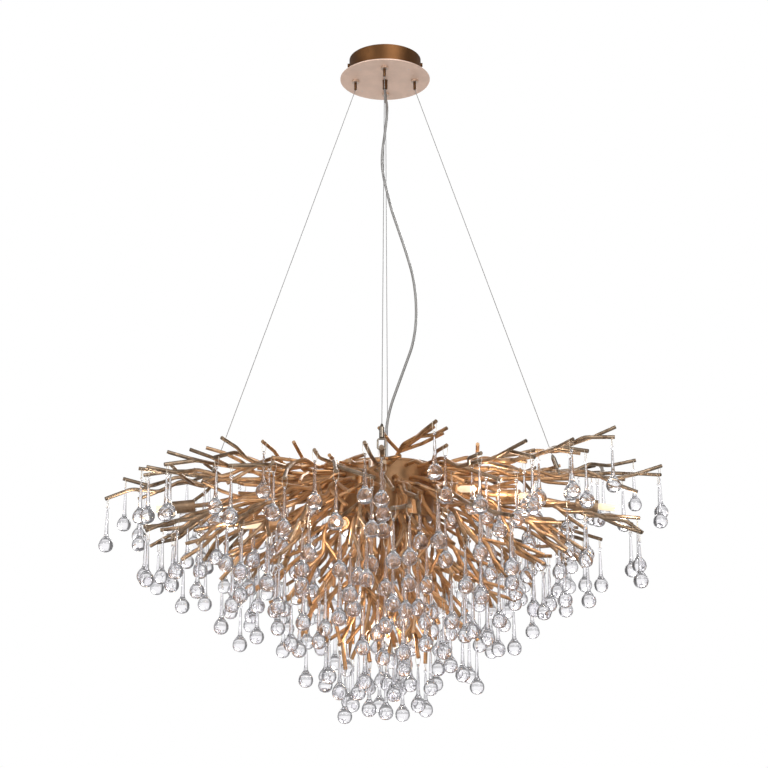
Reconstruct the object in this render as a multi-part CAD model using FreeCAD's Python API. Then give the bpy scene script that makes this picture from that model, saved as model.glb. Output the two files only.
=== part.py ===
import FreeCAD, Part
import math
import os
import random

# Crystal chandelier: a ceiling canopy, four steel cables and a hub with branches
# that carry glass drops. Millimetres, Z up. The origin is the centre of the
# canopy's ceiling side, so everything hangs below Z = 0. X is the long way of the
# oval crown, and the front is -Y.
Vector = FreeCAD.Vector
UP = Vector(0, 0, 1)
ORIGIN = Vector(0, 0, 0)

# Canopy sizes
HOUSING_D = 160.0
HOUSING_H = 45.0
HOUSING_WALL = 1.5
HOUSING_FLANGE = 7.0
FACE_PLATE_D = 200.0
FACE_PLATE_T = 3.0
FACE_PLATE_EDGE = 0.6
FLANGE_SCREW_D = 3.0
FLANGE_SCREW_COUNT = 4
FLANGE_SCREW_HEAD_D = 5.6
FLANGE_SCREW_HEAD_H = 2.0
BRACKET_W = 30.0
BRACKET_T = 2.0
BRACKET_TAB_H = 18.0
CEILING_HOLE_D = 5.5
CEILING_HOLE_SPACING = 90.0
SIDE_SCREW_D = 4.0
SIDE_SCREW_HEAD_D = 9.0
SIDE_SCREW_HEAD_H = 4.0
SIDE_SCREW_POINT = 3.0
TERMINAL_SIZE = (38.0, 18.0, 15.0)
TERMINAL_BORE_D = 3.4
TERMINAL_WAYS = 3

# Suspension sizes
CABLE_D = 1.5
GRIP_RADIUS = 66.0
GRIP_NUT_D = 16.5
GRIP_NUT_H = 5.0
GRIP_STEM_D = 6.0
GRIP_STEM_H = 18.0
GRIP_THREAD_H = 9.0
LOCK_NUT_H = 3.0
LOCK_NUT_D = 10.0
HANG_DROP = 951.0
HANG_SIDE_RADIUS = 365.0
HANG_FRONT_RADIUS = 320.0
CLUTCH_D = 10.0
CLUTCH_H = 22.0
CLUTCH_TIP_H = 8.0
CLUTCH_TIP_D = 4.0
CLUTCH_FLOOR = 2.0
CABLE_BEND = 2.5
CABLE_STRAIGHT = 1.0
STIRRUP_WIRE_D = 3.5
STIRRUP_LENGTH = 21.0
STIRRUP_WIDTH = 15.0
ARM_D = 10.0
ARM_END = 16.0
ARM_HOLE_REACH = 9.0
ARM_DROP_NAME = "arm_front"

# Cord and gland sizes
CORD_D = 6.0
GLAND_D = 11.0
GLAND_H = 22.0
GLAND_NECK_D = 8.0
GLAND_NECK_REACH = 6.0
GLAND_EDGE = 1.5
HUB_GLAND_D = 16.0
HUB_GLAND_BASE_H = 5.6
HUB_GLAND_NECK_D = 11.2
HUB_GLAND_NECK_H = 8.4

# Hub sizes
HUB_D = 200.0
HUB_TOP = -928.0
HUB_H = 107.0
HUB_WALL = 4.0
HUB_LID_T = 4.0
HUB_LID_LIP = 2.0
HUB_FLOOR_T = 6.0
ROW_PITCH = 13.0
FIRST_ROW_DEPTH = 10.0
TIE_SCREW_D = 3.5
TIE_SCREW_RADIUS = 71.0
TIE_SCREW_COUNT = 3
TIE_NUT_D = 7.0
TIE_NUT_H = 3.0
STEM_D = 17.0
STEM_BORE_D = 11.0
STEM_LENGTH = 133.0
STEM_COLLAR_D = 25.0
STEM_COLLAR_H = 8.0
STEM_FOOT_H = 16.0

# Lamp sizes
HOLDER_D = 26.0
HOLDER_H = 46.0
HOLDER_BACK = 5.0
SOCKET_BORE_D = 15.0
SOCKET_DEPTH = 18.0
BULB_BASE_D = 13.6
BULB_D = 14.0
BULB_LENGTH = 40.0
LAMP_ARM_D = 9.0
LAMP_ARM_BEND = 60.0
LAMP_ARM_STRAIGHT = 24.0
LAMP_ARM_TAIL = 20.0
LAMP_TILT = 2.2

# Branch sizes
ROD_D = 8.0
TWIG_D = 7.4
ROD_RUN = 46.0
ROD_BEND = 30.0
ROD_WIGGLE = 12.5
ROD_INSERT = 10.0
WALL_ENTRY = 14.0
FLOOR_ENTRY = 14.0
CROWN_FRONT_SHARE = 0.6
OVAL_BUNCHING = 0.6
ROD_GAP = 2.2
ROD_TRIES = 120
TWIG_TRIES = 30
REACH_SPREAD = (0.87, 1.04)
HEIGHT_SPREAD = 23.0
AZIMUTH_SPREAD = 2.7
WIGGLE_SIDE = (0.55, 1.0)
WIGGLE_TURN = (110.0, 250.0)
TOP_LEAN = 0.5
LEAN_SCALE_LEAST = 0.8
FIRST_FLOOR_TIER = 5
GROWTH_SEED = 11
TWIG_ANGLE = (24.0, 42.0)
TWIG_ROLL = (-50.0, 60.0)
TOP_TWIG_ROLL = (-25.0, 22.0)
TWIG_START_SHARES = (0.42, 0.6, 0.78)
COVER_SHARES = (0.0, 0.17)
COVER_ANGLE = (40.0, 72.0)
COVER_LENGTH = (70.0, 110.0)
COVER_TIERS = 2
TWIG_LIFT = (-0.14, 0.12)
TWIG_CURL = (-34.0, 14.0)
FORK_STEPS = 4
FORK_GAP = 2.0
SLIVER_AREA = 14.0

# Drop sizes
BALL_D = 30.0
LUG_D = 8.6
LUG_T = 3.4
LUG_HOLE_D = 3.2
DROP_STEM_TOP_D = 4.8
DROP_STEM_END_D = 9.0
EYE_TO_BALL = 77.0
FLARE_H = 4.5
FLARE_ANGLE = 27.0
FLARE_WAIST_IN = 0.3
FLARE_WAIST_DOWN = 0.58
HANGER_WIRE_D = 0.9
HANGER_LENGTH = 20.0
HANGER_HOLE_D = 2.0
HANGER_SIDE_GAP = 0.7
HANGER_SHOULDER = 11.0
HANGER_ROOM = 6.0
HANGER_GAP = 0.5
HANGER_OWN_GAP = 0.35
HANGER_STEPS = 6
TIP_HOLE_INSET = 6.0
DROP_GAP = 1.6
DROP_STEP = 7.0
EYE_PLAY = 0.1
STEEP_SHARE = 0.2
LAMP_GAP = 3.0
CORD_ROOM_H = 224.0
SWING_LIMIT = 20.0
SWING_COUNT = 16
PLACE_STEP = 2
PLACE_SHARES = (0.5, 0.25, 0.75)
GROUP_SIZE = 66
SWING_SPACING = 75.0

# Fits and clearances
BORE_FIT = 0.05
SLIP_FIT = 0.2
ROUNDING = 1.0
THROUGH = 1.0
ARC_SHARE = 0.45

# Crown tiers below the top one: rods, reach along X, tip height, and the point
# that the drooping curve leans toward, as a radius and a height
WALL_TIERS = (
    (2, 22, 520.0, -1068.0, 300.0, -984.0, (60.0, 105.0)),
    (3, 20, 430.0, -1112.0, 270.0, -1006.0, (55.0, 90.0)),
    (4, 18, 345.0, -1152.0, 215.0, -1030.0, (50.0, 80.0)),
)
# Tiers that leave the hub's floor: rods, ring radius, reach, tip height, lean point
FLOOR_TIERS = (
    (16, 83.0, 255.0, -1200.0, 140.0, -1070.0, (45.0, 70.0)),
    (12, 60.0, 175.0, -1262.0, 92.0, -1120.0, (40.0, 65.0)),
    (8, 38.0, 90.0, -1325.0, 50.0, -1170.0, (36.0, 56.0)),
)
# Top tier: where each rod of the flat crown ends, from the right end anticlockwise
TOP_TIPS = (
    (585, 55, -922), (545, 165, -886), (470, 235, -878), (300, 290, -905), (100, 335, -930),
    (-95, 330, -925), (-290, 295, -915), (-455, 235, -895), (-535, 160, -905), (-560, 60, -942),
    (-572, -55, -990), (-468, -150, -962), (-415, -235, -955), (-325, -250, -945), (-215, -275, -972),
    (-90, -325, -985), (-5, -300, -978), (85, -215, -884), (185, -285, -976), (290, -262, -945),
    (395, -225, -930), (455, -150, -890), (515, -52, -955),
)
TOP_TWIG = (65.0, 120.0)

# Lamps in the crown: where the arm leaves the hub, the lamp's direction, the arm's reach
# and its fall below the arm's row
LAMP_PLACES = (
    (187.0, 187.0, 390.0, 60.0), (215.0, 205.0, 225.0, 104.0), (248.0, 248.0, 160.0, 112.0),
    (322.0, 322.0, 145.0, 34.0), (335.0, 335.0, 250.0, 50.0), (353.0, 353.0, 390.0, 60.0),
    (62.0, 62.0, 190.0, 22.0), (118.0, 118.0, 190.0, 22.0),
)

# Cord route from the canopy's gland down to the hub, chosen by eye
CORD_ROUTE = (
    (0, 0, -70), (0, 0, -86), (5, -6, -114), (4, -9, -145), (-1, -10, -186), (-6, -8, -222),
    (-7, -5, -252), (-3, -3, -283), (4, -4, -313), (13, -7, -355), (25, -9, -393),
    (42, -8, -445), (58, -4, -499), (64, 1, -535), (67, 4, -573), (66, 6, -616),
    (59, 7, -660), (44, 7, -702), (26, 5, -753), (12, 3, -793), (4, 1, -830),
    (1, -1, -866), (0, 0, -890), (0, 0, -910),
)

HOUSING_R = HOUSING_D / 2
HUB_R = HUB_D / 2
HUB_BOTTOM = HUB_TOP - HUB_H
PLATE_TOP = -HOUSING_H
PLATE_BOTTOM = PLATE_TOP - FACE_PLATE_T
CLUTCH_LOW = STIRRUP_LENGTH + STIRRUP_WIRE_D / 2
LID_TOP = HUB_TOP + HUB_LID_T
STEM_BOTTOM = HUB_BOTTOM - STEM_LENGTH
ROD_R = ROD_D / 2
TWIG_R = TWIG_D / 2
BALL_R = BALL_D / 2


# Small helpers
def tube(radius, start, direction, length):
    return Part.makeCylinder(radius, length, start, direction)


def disc(diameter, bottom, height, x=0.0, y=0.0):
    return Part.makeCylinder(diameter / 2, height, Vector(x, y, bottom))


def bore(diameter, bottom, height, x=0.0, y=0.0):
    return disc(diameter, bottom - THROUGH, height + 2 * THROUGH, x, y)


def polar(radius, degrees, z):
    turn = math.radians(degrees)
    return Vector(radius * math.cos(turn), radius * math.sin(turn), z)


def ring_angles(count, start=0.0):
    return [start + 360.0 * k / count for k in range(count)]


def turned(points):
    profile = [Vector(r, 0, z) for r, z in points]
    face = Part.Face(Part.makePolygon(profile + [profile[0]]))
    return face.revolve(ORIGIN, UP, 360)


def placed(shape, start, direction):
    copy = shape.copy()
    copy.Placement = FreeCAD.Placement(start, FreeCAD.Rotation(UP, direction))
    return copy


# One path of straight runs joined by tangent arcs
def path_edges(points, bend):
    edges = []
    radii = []
    start = points[0]
    for before, corner, after in zip(points, points[1:], points[2:]):
        into = (corner - before).normalize()
        out = (after - corner).normalize()
        half = into.getAngle(out) / 2
        reach = ARC_SHARE * min((corner - before).Length, (after - corner).Length)
        if bend:
            reach = min(bend * math.tan(half), reach)
        radius = reach / math.tan(half)
        radii.append(radius)
        middle = corner + (out - into).normalize() * (radius / math.cos(half) - radius)
        edges.append(Part.LineSegment(start, corner - into * reach).toShape())
        edges.append(Part.Arc(corner - into * reach, middle, corner + out * reach).toShape())
        start = corner + out * reach
    edges.append(Part.LineSegment(start, points[-1]).toShape())
    return edges, radii


def swept(points, radius, bend):
    edges, radii = path_edges(points, bend)
    return pipe(edges, radius)


def pipe(edges, radius, corner_mode=0):
    first = edges[0]
    start = first.FirstParameter
    section = Part.makeCircle(radius, first.valueAt(start), first.tangentAt(start))
    return Part.Wire(edges).makePipeShell([Part.Wire([section])], True, False, corner_mode)


def ringed(points):
    middle = (points[0] + points[-1]) * 0.5
    return [middle] + points + [middle]


def mitred_loop(points, radius):
    loop = ringed(points)
    runs = [Part.LineSegment(a, b).toShape() for a, b in zip(loop, loop[1:])]
    return pipe(runs, radius, 1)


# Room: spheres on a grid, to find out whether a new piece has its place free
class Room:
    CELL = 45.0

    def __init__(self):
        self.cells = {}

    def key(self, point):
        return tuple(int(math.floor(v / self.CELL)) for v in point)

    def add(self, spheres, owner):
        for point, radius in spheres:
            self.cells.setdefault(self.key(point), []).append((point, radius, owner))

    def clear(self, spheres, gap, own=None):
        for point, radius in spheres:
            i, j, k = self.key(point)
            near = (
                item
                for a in (i - 1, i, i + 1)
                for b in (j - 1, j, j + 1)
                for c in (k - 1, k, k + 1)
                for item in self.cells.get((a, b, c), ())
            )
            for other, size, owner in near:
                limit = radius + size + gap
                if owner != own and (other - point).Length < limit:
                    return False
        return True


def along(points, radius, step=5.0):
    spheres = []
    for a, b in zip(points, points[1:]):
        count = max(1, int((b - a).Length / step))
        spheres += [(a + (b - a) * (k / count), radius) for k in range(count)]
    return spheres + [(points[-1], radius)]


# Canopy pieces
def make_bracket():
    length = HOUSING_D - 2 * (HOUSING_WALL + SLIP_FIT)
    corner = Vector(-length / 2, -BRACKET_W / 2, -BRACKET_T)
    bar = Part.makeBox(length, BRACKET_W, BRACKET_T, corner)
    tab = Part.makeBox(BRACKET_T, BRACKET_W, BRACKET_TAB_H + BRACKET_T)
    left = tab.translated(corner - UP * BRACKET_TAB_H)
    right = left.translated(Vector(length - BRACKET_T, 0, 0))
    body = bar.fuse([left, right]).removeSplitter()
    body = body.common(disc(length, PLATE_TOP, HOUSING_H))
    holes = [
        bore(CEILING_HOLE_D, -BRACKET_T, BRACKET_T, side * CEILING_HOLE_SPACING / 2)
        for side in (-1, 1)
    ]
    holes.append(side_way(SIDE_SCREW_D / 2))
    return body.cut(holes)


def side_screw_z():
    return -BRACKET_T - BRACKET_TAB_H / 2


def side_way(radius):
    start = Vector(-HOUSING_R - THROUGH, 0, side_screw_z())
    return tube(radius, start, Vector(1, 0, 0), HOUSING_D + 2 * THROUGH)


def make_housing():
    outer = disc(HOUSING_D, PLATE_TOP, HOUSING_H)
    inner = disc(HOUSING_D - 2 * HOUSING_WALL, PLATE_TOP + HOUSING_WALL, HOUSING_H)
    way = bore(HOUSING_D - 2 * (HOUSING_WALL + HOUSING_FLANGE), PLATE_TOP, HOUSING_WALL)
    side = side_way((SIDE_SCREW_D + SLIP_FIT) / 2)
    return outer.cut([inner, way, side] + flange_holes())


def flange_points():
    radius = HOUSING_R - HOUSING_WALL - HOUSING_FLANGE / 2
    return [polar(radius, angle, 0) for angle in ring_angles(FLANGE_SCREW_COUNT, 45)]


def flange_holes():
    depth = FACE_PLATE_T + HOUSING_WALL
    return [bore(FLANGE_SCREW_D + SLIP_FIT, PLATE_BOTTOM, depth, p.x, p.y) for p in flange_points()]


def make_flange_screws():
    shank_h = FACE_PLATE_T + HOUSING_WALL
    screws = []
    for p in flange_points():
        shank = disc(FLANGE_SCREW_D, PLATE_BOTTOM, shank_h, p.x, p.y)
        head = disc(FLANGE_SCREW_HEAD_D, PLATE_BOTTOM + shank_h, FLANGE_SCREW_HEAD_H, p.x, p.y)
        screws.append(shank.fuse(head).removeSplitter())
    return screws


def make_face_plate():
    plate = disc(FACE_PLATE_D, PLATE_BOTTOM, FACE_PLATE_T)
    rims = [edge for edge in plate.Edges if edge.isClosed()]
    plate = plate.makeChamfer(FACE_PLATE_EDGE, rims)
    stem_way = GRIP_STEM_D + SLIP_FIT
    holes = [bore(stem_way, PLATE_BOTTOM, FACE_PLATE_T, p.x, p.y) for p in grip_points()]
    holes.append(bore(GLAND_NECK_D + SLIP_FIT, PLATE_BOTTOM, FACE_PLATE_T))
    return plate.cut(holes + flange_holes())


def make_side_screws():
    reach = HOUSING_WALL + SLIP_FIT + BRACKET_T + SIDE_SCREW_POINT
    screws = []
    for side in (-1, 1):
        out = Vector(side, 0, 0)
        start = Vector(side * (HOUSING_R - reach), 0, side_screw_z())
        shank = tube(SIDE_SCREW_D / 2, start, out, reach)
        head = tube(SIDE_SCREW_HEAD_D / 2, start + out * reach, out, SIDE_SCREW_HEAD_H)
        screws.append(shank.fuse(head).removeSplitter())
    return screws


def make_terminal_block():
    length, width, height = TERMINAL_SIZE
    top = -BRACKET_T
    block = Part.makeBox(length, width, height, Vector(-length / 2, -width / 2, top - height))
    pitch = length / TERMINAL_WAYS
    bores = []
    for way in range(TERMINAL_WAYS):
        start = Vector(-length / 2 + pitch * (way + 0.5), -width / 2 - THROUGH, top - height / 2)
        bores.append(tube(TERMINAL_BORE_D / 2, start, Vector(0, 1, 0), width + 2 * THROUGH))
        for y in (-width / 4, width / 4):
            screw_top = Vector(start.x, y, start.z)
            bores.append(tube(TERMINAL_BORE_D / 2, screw_top, Vector(0, 0, -1), height / 2 + THROUGH))
    return block.cut(bores)


# Suspension pieces
SIDES = (("left", -1, 0), ("right", 1, 0), ("front", 0, -1), ("back", 0, 1))


def grip_points():
    return [Vector(x * GRIP_RADIUS, y * GRIP_RADIUS, 0) for name, x, y in SIDES]


def hang_point(x, y):
    return Vector(x * HANG_SIDE_RADIUS, y * HANG_FRONT_RADIUS, -HANG_DROP)


def grip_exit(x, y):
    return Vector(x * GRIP_RADIUS, y * GRIP_RADIUS, PLATE_BOTTOM - GRIP_NUT_H - GRIP_STEM_H)


def pull(x, y):
    return (grip_exit(x, y) - hang_point(x, y)).normalize()


def make_grip(point):
    way = CABLE_D / 2 + SLIP_FIT
    stem = GRIP_STEM_D / 2
    nut = GRIP_NUT_D / 2
    nut_low = PLATE_BOTTOM - GRIP_NUT_H
    bottom = nut_low - GRIP_STEM_H
    grip = turned((
        (way, bottom), (stem - ROUNDING, bottom), (stem, bottom + ROUNDING), (stem, nut_low),
        (nut, nut_low), (nut, PLATE_BOTTOM), (stem, PLATE_BOTTOM),
        (stem, PLATE_TOP + GRIP_THREAD_H), (way, PLATE_TOP + GRIP_THREAD_H),
    ))
    return grip.translated(point)


def make_lock_nuts():
    nuts = []
    for p in grip_points():
        nut = disc(LOCK_NUT_D, PLATE_TOP, LOCK_NUT_H, p.x, p.y)
        nuts.append(nut.cut(bore(GRIP_STEM_D + SLIP_FIT, PLATE_TOP, LOCK_NUT_H, p.x, p.y)))
    return nuts


def make_cable(x, y):
    foot = hang_point(x, y) + pull(x, y) * (CLUTCH_LOW + CLUTCH_FLOOR)
    corner = grip_exit(x, y) + UP * CABLE_STRAIGHT
    top = Vector(corner.x, corner.y, PLATE_TOP + GRIP_THREAD_H)
    return swept([foot, corner, top], CABLE_D / 2, CABLE_BEND)


def make_clutch(x, y):
    way = CABLE_D / 2 + BORE_FIT
    shoulder = CLUTCH_LOW + CLUTCH_H
    high = shoulder + CLUTCH_TIP_H
    floor = CLUTCH_LOW + CLUTCH_FLOOR - BORE_FIT
    solid = turned((
        (0, CLUTCH_LOW), (CLUTCH_D / 2, CLUTCH_LOW), (CLUTCH_D / 2, shoulder),
        (CLUTCH_TIP_D / 2, high), (way, high), (way, floor), (0, floor),
    ))
    return placed(solid, hang_point(x, y), pull(x, y))


def make_stirrup(x, y):
    across = Vector(-y, x, 0)
    climb = pull(x, y)
    half = across * (STIRRUP_WIDTH / 2)
    top = climb * STIRRUP_LENGTH
    corners = [hang_point(x, y) + p for p in (half * -1, half, half + top, top - half)]
    return swept(ringed(corners), STIRRUP_WIRE_D / 2, STIRRUP_WIRE_D)


def make_arm(x, y, drop_holes):
    out = Vector(x, y, 0)
    reach = hang_point(x, y).dot(out) + ARM_END
    start = Vector(0, 0, -HANG_DROP) + out * (HUB_R - ROD_INSERT)
    arm = tube(ARM_D / 2, start, out, reach - HUB_R + ROD_INSERT)
    across = Vector(-y, x, 0)
    hole = tube(STIRRUP_WIRE_D / 2 + SLIP_FIT, hang_point(x, y) - across * ARM_D, across, 2 * ARM_D)
    return arm.cut([hole] + drop_holes)


# Cord and its glands
def make_gland():
    rim = GLAND_D / 2
    neck = GLAND_NECK_D / 2
    low = PLATE_BOTTOM - GLAND_H
    return turned((
        (0, low), (rim - GLAND_EDGE, low), (rim, low + GLAND_EDGE), (rim, PLATE_BOTTOM),
        (neck, PLATE_BOTTOM), (neck, PLATE_TOP + GLAND_NECK_REACH), (0, PLATE_TOP + GLAND_NECK_REACH),
    ))


def make_hub_gland():
    body = disc(HUB_GLAND_D, LID_TOP, HUB_GLAND_BASE_H)
    neck = disc(HUB_GLAND_NECK_D, LID_TOP + HUB_GLAND_BASE_H, HUB_GLAND_NECK_H)
    return body.fuse(neck).removeSplitter()


def make_cord():
    points = [Vector(*p) for p in CORD_ROUTE]
    points[0] = Vector(0, 0, PLATE_BOTTOM - GLAND_H)
    points[-1] = Vector(0, 0, LID_TOP + HUB_GLAND_BASE_H + HUB_GLAND_NECK_H)
    edges, radii = path_edges(points, 0)
    solid = pipe(edges, CORD_D / 2)
    length = Part.Wire(edges).Length
    full = math.pi * CORD_D ** 2 / 4 * length
    print("cord length %.0f, volume over section times length %.5f" % (length, solid.Volume / full))
    print("cord radii", " ".join("%.0f" % r for r in radii))
    return solid


# Hub pieces
def row_z(row):
    return HUB_TOP - FIRST_ROW_DEPTH - ROW_PITCH * row


def make_hub_drum(wall_bores):
    drum = disc(HUB_D, HUB_BOTTOM, HUB_H).cut(bore(HUB_D - 2 * HUB_WALL, HUB_BOTTOM, HUB_H))
    ways = []
    for angle, z, radius in wall_bores:
        start = polar(HUB_R - HUB_WALL - THROUGH, angle, z)
        ways.append(tube(radius + BORE_FIT, start, polar(1, angle, 0), HUB_WALL + 2 * THROUGH))
    return drum.cut(ways)


def tie_points():
    return [polar(TIE_SCREW_RADIUS, angle, 0) for angle in ring_angles(TIE_SCREW_COUNT, 90)]


def make_hub_lid():
    lid = disc(HUB_D + 2 * HUB_LID_LIP, HUB_TOP, HUB_LID_T)
    way_d = TIE_SCREW_D + SLIP_FIT
    return lid.cut([bore(way_d, HUB_TOP, HUB_LID_T, p.x, p.y) for p in tie_points()])


def make_hub_floor(floor_bores):
    floor = disc(HUB_D - 2 * HUB_WALL - 2 * BORE_FIT, HUB_BOTTOM, HUB_FLOOR_T)
    sizes = [(ROD_D + 2 * BORE_FIT, p) for p in floor_bores]
    sizes += [(TIE_SCREW_D + SLIP_FIT, p) for p in tie_points()]
    sizes.append((STEM_D + 2 * BORE_FIT, ORIGIN))
    return floor.cut([bore(way_d, HUB_BOTTOM, HUB_FLOOR_T, p.x, p.y) for way_d, p in sizes])


def make_tie_screws():
    screws = []
    for p in tie_points():
        low = HUB_BOTTOM - TIE_NUT_H
        shank = disc(TIE_SCREW_D, low, LID_TOP - low, p.x, p.y)
        head = disc(TIE_NUT_D, LID_TOP, TIE_NUT_H, p.x, p.y)
        nut = disc(TIE_NUT_D, low, TIE_NUT_H, p.x, p.y)
        screws.append(shank.fuse([head, nut]).removeSplitter())
    return screws


def make_stem():
    height = STEM_LENGTH + HUB_FLOOR_T
    outer = disc(STEM_D, STEM_BOTTOM, height)
    collar = disc(STEM_COLLAR_D, HUB_BOTTOM - STEM_COLLAR_H, STEM_COLLAR_H)
    foot = disc(STEM_COLLAR_D, STEM_BOTTOM, STEM_FOOT_H)
    body = outer.fuse([collar, foot]).removeSplitter()
    return body.cut(bore(STEM_BORE_D, STEM_BOTTOM, height))


# Lamp pieces, along +Z from the holder's back
def holder_shape(way_d):
    outer = HOLDER_D / 2
    socket = SOCKET_BORE_D / 2
    return turned((
        (way_d / 2, 0), (outer - ROUNDING, 0), (outer, ROUNDING), (outer, HOLDER_H), (socket, HOLDER_H),
        (socket, HOLDER_H - SOCKET_DEPTH), (way_d / 2, HOLDER_H - SOCKET_DEPTH),
    ))


def bulb_shape():
    base = HOLDER_H - SOCKET_DEPTH + SLIP_FIT
    glass_low = base + SOCKET_DEPTH
    dome_z = glass_low + BULB_LENGTH - BULB_D / 2
    foot = disc(BULB_BASE_D, base, SOCKET_DEPTH)
    glass = disc(BULB_D, glass_low, dome_z - glass_low)
    dome = Part.makeSphere(BULB_D / 2, Vector(0, 0, dome_z))
    return foot.fuse([glass, dome]).removeSplitter()


def lamp_arm_points(leave, azimuth, reach, fall):
    z = row_z(1)
    low = z - fall
    return [
        polar(HUB_R - ROD_INSERT, leave, z), polar(HUB_R + LAMP_ARM_STRAIGHT, leave, z),
        polar(reach - LAMP_ARM_TAIL, azimuth, low), polar(reach, azimuth, low - LAMP_TILT),
    ]


def lamp_out(points):
    return (points[-1] - points[-2]).normalize()


# Branches: every rod is a list of points from the hub outward
def crown_radius(azimuth):
    turn = math.radians(azimuth)
    return 1 / math.hypot(math.cos(turn), math.sin(turn) / CROWN_FRONT_SHARE)


def crown_azimuth(parameter):
    turn = math.radians(parameter)
    oval = math.degrees(math.atan2(CROWN_FRONT_SHARE * math.sin(turn), math.cos(turn))) % 360
    return oval * OVAL_BUNCHING + parameter * (1 - OVAL_BUNCHING)


def azimuth_of(point):
    return math.degrees(math.atan2(point.y, point.x))


def curve_point(a, b, c, t):
    return a * (1 - t) ** 2 + b * (2 * t * (1 - t)) + c * t ** 2


def wiggled(line, rng):
    points = list(line[:2])
    turn = rng.uniform(0.0, 360.0)
    for k in range(2, len(line)):
        out = (line[k] - line[k - 1]).normalize()
        turn += rng.uniform(*WIGGLE_TURN)
        aside = FreeCAD.Rotation(out, turn).multVec(out.cross(UP).normalize())
        amount = ROD_WIGGLE * min(1.0, (k - 1) / 3.0) * rng.uniform(*WIGGLE_SIDE)
        points.append(line[k] + aside * amount)
    return points


def rod_line(start, entry, lean, tip, rng):
    first = start + entry
    rough = (lean - first).Length + (tip - lean).Length
    count = max(3, int(round(rough / ROD_RUN)))
    line = [start] + [curve_point(first, lean, tip, k / count) for k in range(count + 1)]
    return wiggled(line, rng)


# Each plan is a tier, a start in the hub, the straight way out of it, the lean point,
# the tip and the lengths of its twigs
def top_plans():
    plans = []
    for k, place in enumerate(TOP_TIPS):
        azimuth = crown_azimuth((k + 0.5) * 360.0 / len(TOP_TIPS))
        tip = Vector(*place)
        start = polar(HUB_R - ROD_INSERT, azimuth, row_z(0))
        entry = polar(ROD_INSERT + WALL_ENTRY, azimuth, 0)
        lean = polar(TOP_LEAN * math.hypot(tip.x, tip.y), azimuth, row_z(0))
        plans.append((1, start, entry, lean, tip, TOP_TWIG))
    return plans


def wall_plans():
    plans = []
    for row, count, reach, tip_z, lean_r, lean_z, twig in WALL_TIERS:
        turn = 180.0 / count if row % 2 else 0.0
        for parameter in ring_angles(count, turn):
            azimuth = crown_azimuth(parameter)
            scale = crown_radius(azimuth)
            start = polar(HUB_R - ROD_INSERT, azimuth, row_z(row))
            entry = polar(ROD_INSERT + WALL_ENTRY, azimuth, 0)
            lean = polar(lean_r * scale, azimuth, lean_z)
            plans.append((row, start, entry, lean, polar(reach * scale, azimuth, tip_z), twig))
    return plans


def floor_plans():
    plans = []
    entry = Vector(0, 0, -HUB_FLOOR_T - FLOOR_ENTRY)
    for tier, numbers in enumerate(FLOOR_TIERS, start=FIRST_FLOOR_TIER):
        count, ring, reach, tip_z, lean_r, lean_z, twig = numbers
        for azimuth in ring_angles(count, 90.0 / count):
            scale = crown_radius(azimuth)
            start = polar(ring, azimuth, HUB_BOTTOM + HUB_FLOOR_T)
            lean = polar(lean_r * max(scale, LEAN_SCALE_LEAST), azimuth, lean_z)
            plans.append((tier, start, entry, lean, polar(reach * scale, azimuth, tip_z), twig))
    return plans


def loosened(tip, rng):
    radius = math.hypot(tip.x, tip.y) * rng.uniform(*REACH_SPREAD)
    azimuth = azimuth_of(tip) + rng.uniform(-AZIMUTH_SPREAD, AZIMUTH_SPREAD)
    return polar(radius, azimuth, tip.z + rng.uniform(-HEIGHT_SPREAD, HEIGHT_SPREAD))


def grow_rods(room, rng):
    rods = []
    for tier, start, entry, lean, tip, twig in top_plans() + wall_plans() + floor_plans():
        name = "rod_%d" % len(rods)
        for attempt in range(ROD_TRIES):
            end = tip if tier == 1 else loosened(tip, rng)
            points = rod_line(start, entry, lean, end, rng)
            if room.clear(along(points[2:], ROD_R), ROD_GAP, name):
                room.add(along(points, ROD_R), name)
                rods.append((tier, points, name, twig))
                break
    return rods


def twig_line(main, share, side, length, angles, rolls, rng):
    spans = list(zip(main[2:], main[3:]))
    a, b = spans[min(int(share * len(spans)), len(spans) - 1)]
    out = (b - a).normalize()
    across = out.cross(UP).normalize()
    roll = FreeCAD.Rotation(out, side * rng.uniform(*rolls))
    hinge = roll.multVec(across.cross(out))
    heading = FreeCAD.Rotation(hinge, side * rng.uniform(*angles)).multVec(out)
    count = max(1, int(round(length / ROD_RUN)))
    points = [(a + b) * 0.5]
    for k in range(count):
        points.append(points[-1] + heading * (length / count))
        bend = FreeCAD.Rotation(hinge, rng.uniform(*TWIG_CURL) * side)
        heading = (bend.multVec(heading) + UP * rng.uniform(*TWIG_LIFT)).normalize()
    return points


def twig_plans(tier, length):
    rolls = TOP_TWIG_ROLL if tier == 1 else TWIG_ROLL
    plans = [(share, length, TWIG_ANGLE, rolls) for share in TWIG_START_SHARES]
    if tier <= COVER_TIERS:
        plans += [(share, COVER_LENGTH, COVER_ANGLE, TOP_TWIG_ROLL) for share in COVER_SHARES]
    return plans


def grow_branches(rods, room, rng):
    branches = []
    for tier, points, name, twig in rods:
        twigs = []
        own = along(points, ROD_R)
        for index, (share, length, angles, rolls) in enumerate(twig_plans(tier, twig)):
            side = 1 if (index + len(branches)) % 2 else -1
            for attempt in range(TWIG_TRIES):
                shape = twig_line(points, share, side, rng.uniform(*length), angles, rolls, rng)
                free = along(shape, TWIG_R)[FORK_STEPS:]
                apart = min((p - q).Length for p, r in free for q, s in own)
                if apart > ROD_R + FORK_GAP and room.clear(free, ROD_GAP, name):
                    room.add(along(shape, TWIG_R), name)
                    twigs.append(shape)
                    break
                side = -side
        body, kept = joined(points, twigs)
        branches.append((tier, points, kept, name, body))
    return branches


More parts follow.
